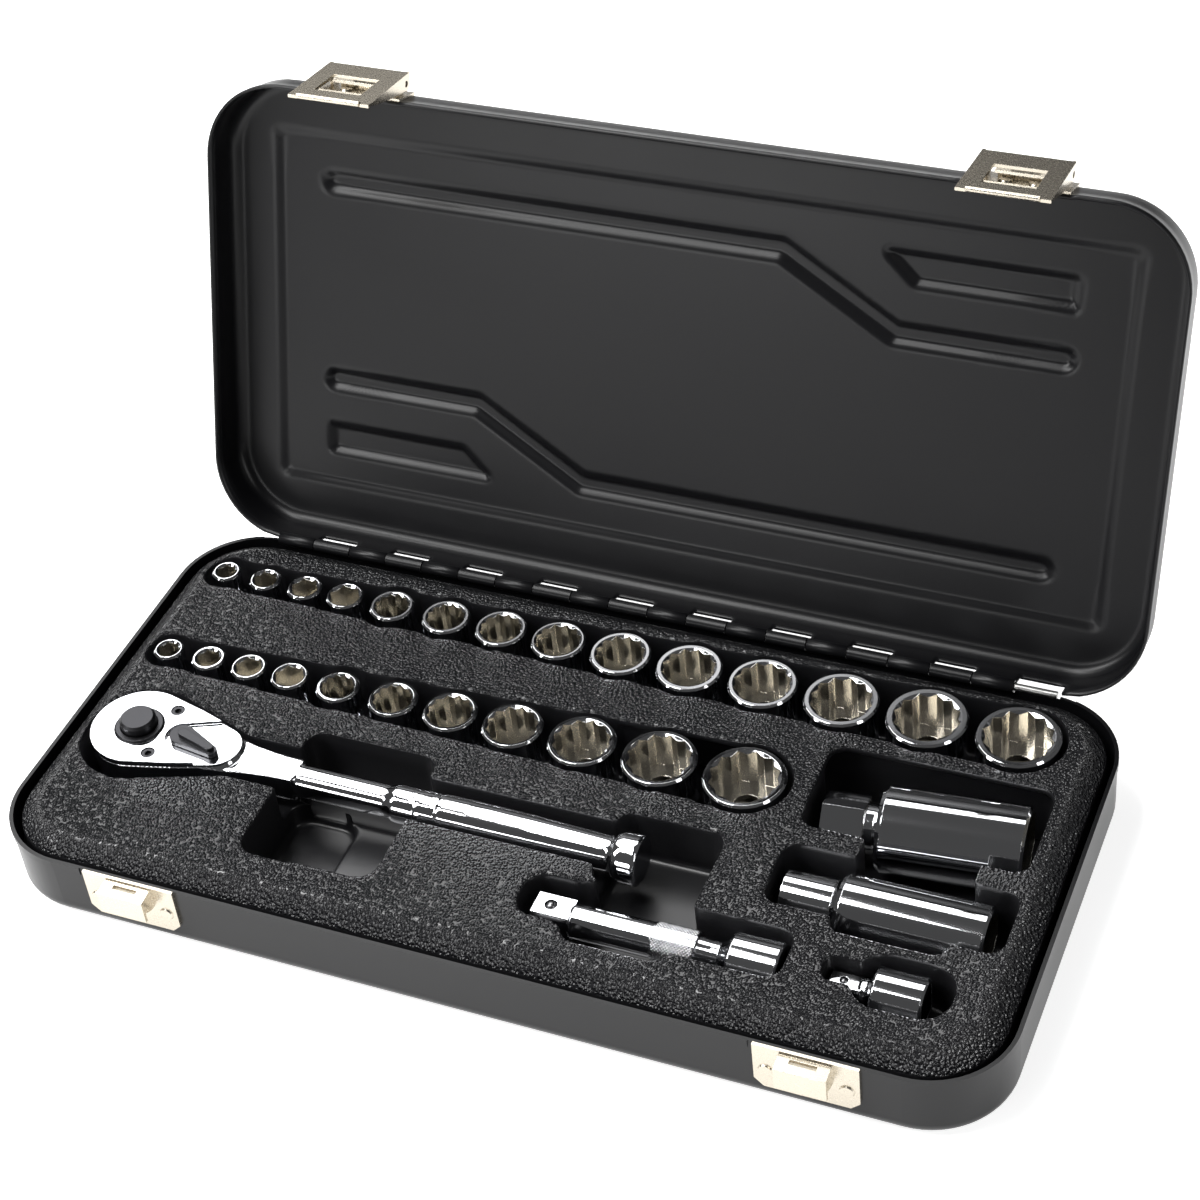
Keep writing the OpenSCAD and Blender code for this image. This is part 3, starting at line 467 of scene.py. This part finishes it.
def tube(name, start, length, outer, inner, parts=40):
    """A plain tube along X with soft ends."""
    soft = 0.15
    section = [(start, inner), (start, outer - soft), (start + soft, outer),
               (start + length - soft, outer), (start + length, outer - soft),
               (start + length, inner)]
    points, faces = [], []
    for x, r in section:
        for k in range(parts):
            t = 2 * math.pi * k / parts
            points.append((x * MM, (HINGE_Y + r * math.cos(t)) * MM,
                           (RIM_Z + r * math.sin(t)) * MM))
    count = len(section)
    for i in range(count):
        for k in range(parts):
            a, b = i * parts + k, i * parts + (k + 1) % parts
            c, d = (i + 1) % count * parts + (k + 1) % parts, (i + 1) % count * parts + k
            faces.append((a, d, c, b))
    mesh = bpy.data.meshes.new(name)
    mesh.from_pydata(points, [], faces)
    for face in mesh.polygons:
        face.use_smooth = True
    piece = bpy.data.objects.new(name, mesh)
    bpy.context.scene.collection.objects.link(piece)
    return piece


PIN_BORE, KNUCKLE_GAP = 1.25, 0.15
knuckles = [tube(f"lid_knuckle_{i:02d}", knuckle_start(i) + KNUCKLE_GAP,
                 KNUCKLE_L - 2 * KNUCKLE_GAP, KNUCKLE_R, PIN_BORE) for i in range(0, KNUCKLES, 2)]
for piece in knuckles:
    piece.data.materials.append(case_enamel)
    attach(piece, "lid")
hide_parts("case_lid")
print(len(knuckles), "knuckles on the lid")

# %% [markdown]
# ## The knurled band
# The extension bar has a diamond knurl, cut by two sets of slanting teeth. Two
# crossed waves round a sleeve give the same pyramids.

# %% Knurl
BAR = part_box("extension_bar")
BAND_FROM, BAND_TO = 37.2, 50.6
BAND_R, TOOTH, TEETH = 5.62, 0.28, 34
SLICE, POINTS_PER_TOOTH, RUN_OUT = 0.18, 6, 4


def knurl():
    axis_y = (BAR[0].y + BAR[1].y) / 2
    axis_z = (BAR[0].z + BAR[1].z) / 2
    length = BAND_TO - BAND_FROM
    along, around = int(length / SLICE), TEETH * POINTS_PER_TOOTH
    points, faces = [], []
    for i in range(along + 1):
        x = BAND_FROM + length * i / along
        for k in range(around):
            t = 2 * math.pi * k / around
            twist = (x - BAND_FROM) * TEETH / BAND_R
            peak = (abs(math.cos((TEETH * t + twist) / 2))
                    * abs(math.cos((TEETH * t - twist) / 2)))
            ends = min(1, min(i, along - i) / RUN_OUT)
            r = (BAND_R + TOOTH * peak * ends) * MM
            points.append((BAR[0].x + x * MM, axis_y + r * math.cos(t),
                           axis_z + r * math.sin(t)))
    for i in range(along):
        for k in range(around):
            a, b = i * around + k, i * around + (k + 1) % around
            faces.append((a, b, b + around, a + around))
    for cap in (range(around - 1, -1, -1), range(along * around, (along + 1) * around)):
        faces.append(tuple(cap))
    mesh = bpy.data.meshes.new("knurled_band")
    mesh.from_pydata(points, [], faces)
    piece = bpy.data.objects.new("knurled_band", mesh)
    bpy.context.scene.collection.objects.link(piece)
    mesh.materials.append(chrome)
    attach(piece, "extension")
    return piece


print("knurl has", len(knurl().data.polygons), "faces")

# %% [markdown]
# ## Bare bores
# Inside each socket the plating is thin, so the faces below the mouth's rim get the
# warmer bore finish.

# %% Colour the bores
RIM_DEPTH, THIN_WALL = 0.9 * MM, 1.5 * MM


def colour_bore(name, axis):
    """Faces that look at the axis, or up at the mouth, from below the rim."""
    low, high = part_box(name)
    middle = (low + high) / 2
    outer = (high.y - low.y) / 2
    mesh = nodes[name].data
    mesh.materials.append(bore_steel)
    count = 0
    for face in mesh.polygons:
        out = face.center - middle
        out[axis] = 0
        below = high[axis] - face.center[axis]
        inward = out.length > 0.1 * MM and face.normal.dot(out.normalized()) < -0.3
        inner_floor = face.normal[axis] > 0.7 and out.length < outer - THIN_WALL
        if below > RIM_DEPTH and (inward or inner_floor):
            face.material_index = 1
            count += 1
    return count


socket_names = [n for n in nodes if n.startswith(("metric_socket", "inch_socket"))]
coloured = sum(colour_bore(n, 2) for n in socket_names)
coloured += sum(colour_bore(n, 0) for n in ("plug_socket_large", "plug_socket_small"))
print(coloured, "faces have the bore finish")

# %% [markdown]
# ## The view
# The camera stands in front of the case, a little to the right, and looks down at
# it with a moderate telephoto lens, so the sides stay nearly parallel.

# %% Camera
CAMERA_TARGET = Vector((0.0814, -0.1177, 0.2175))
CAMERA_DISTANCE = 0.584
AZIMUTH, ELEVATION, ROLL = (math.radians(a) for a in (26.71, 41.28, 6.92))
LENS_MM, SENSOR_MM = 80.4, 36.0
back = Vector((math.sin(AZIMUTH) * math.cos(ELEVATION),
               -math.cos(AZIMUTH) * math.cos(ELEVATION), math.sin(ELEVATION)))
right = (-back).cross(Vector((0, 0, 1))).normalized()
up = back.cross(right)
turn = Matrix.Rotation(-ROLL, 3, back)
right, up = turn @ right, turn @ up
camera_data = bpy.data.cameras.new("camera")
camera_data.lens = LENS_MM
camera_data.sensor_width = SENSOR_MM
camera_data.clip_start = 0.01
camera = bpy.data.objects.new("camera", camera_data)
bpy.context.scene.collection.objects.link(camera)
camera.matrix_world = Matrix.Translation(CAMERA_TARGET + back * CAMERA_DISTANCE) @ Matrix(
    (right, up, back)).transposed().to_4x4()
bpy.context.scene.camera = camera
print("camera stands at", [round(c, 3) for c in camera.matrix_world.translation])

# %% [markdown]
# ## Table and lights
# The case stands on a white table that is lit from below, in a dark room. Polished
# steel shows whatever stands round it, so five soft boxes give it its bright bands:
# a large one behind and above for the flat tops, and narrower ones at the sides.

# %% Floor and light
TABLE = 2.0
floor_mesh = bpy.data.meshes.new("floor")
floor_mesh.from_pydata([(-TABLE, -TABLE, 0), (TABLE, -TABLE, 0), (TABLE, TABLE, 0),
                        (-TABLE, TABLE, 0)], [], [(0, 1, 2, 3)])
floor = bpy.data.objects.new("floor", floor_mesh)
bpy.context.scene.collection.objects.link(floor)
floor_finish, tree = finish_named("lit_white_acrylic_table")
close(tree, add(tree, "ShaderNodeBsdfPrincipled", {
    "Base Color": linear("#e8e8e8"), "Roughness": 0.9,
    "Emission Color": linear("#ffffff"), "Emission Strength": 0.8}))
floor_mesh.materials.append(floor_finish)


def softbox(name, place, aim, size, glow):
    """A soft box of the given size in metres. glow is its brightness."""
    data = bpy.data.lights.new(name, "AREA")
    data.shape = "RECTANGLE"
    data.size, data.size_y = size
    data.energy = glow * math.pi * size[0] * size[1]
    lamp = bpy.data.objects.new(name, data)
    bpy.context.scene.collection.objects.link(lamp)
    lamp.location = place
    lamp.rotation_euler = (Vector(aim) - Vector(place)).to_track_quat("-Z", "Y").to_euler()
    return lamp


softbox("front_softbox", (-0.55, -1.45, 0.42), (0, 0.1, 0.1), (0.6, 0.35), 7.5)
softbox("key_softbox", (-0.9, -0.5, 1.1), (0, 0, 0.03), (0.35, 0.8), 16.0)
softbox("ceiling_panel", (-0.72, 0.82, 1.25), (0, 0, 0.03), (1.5, 1.1), 4.2)
softbox("overhead_strip", (-0.42, -0.12, 1.4), (0, 0, 0.03), (0.9, 0.3), 14.0)
softbox("side_softbox", (1.3, -0.3, 0.6), (0, 0, 0.03), (0.3, 0.9), 4.0)
world = bpy.data.worlds.new("studio")
bpy.context.scene.world = world
world.use_nodes = True
world.node_tree.nodes["Background"].inputs["Color"].default_value = linear("#ffffff")
world.node_tree.nodes["Background"].inputs["Strength"].default_value = 0.07
bpy.context.scene.view_settings.view_transform = "Standard"
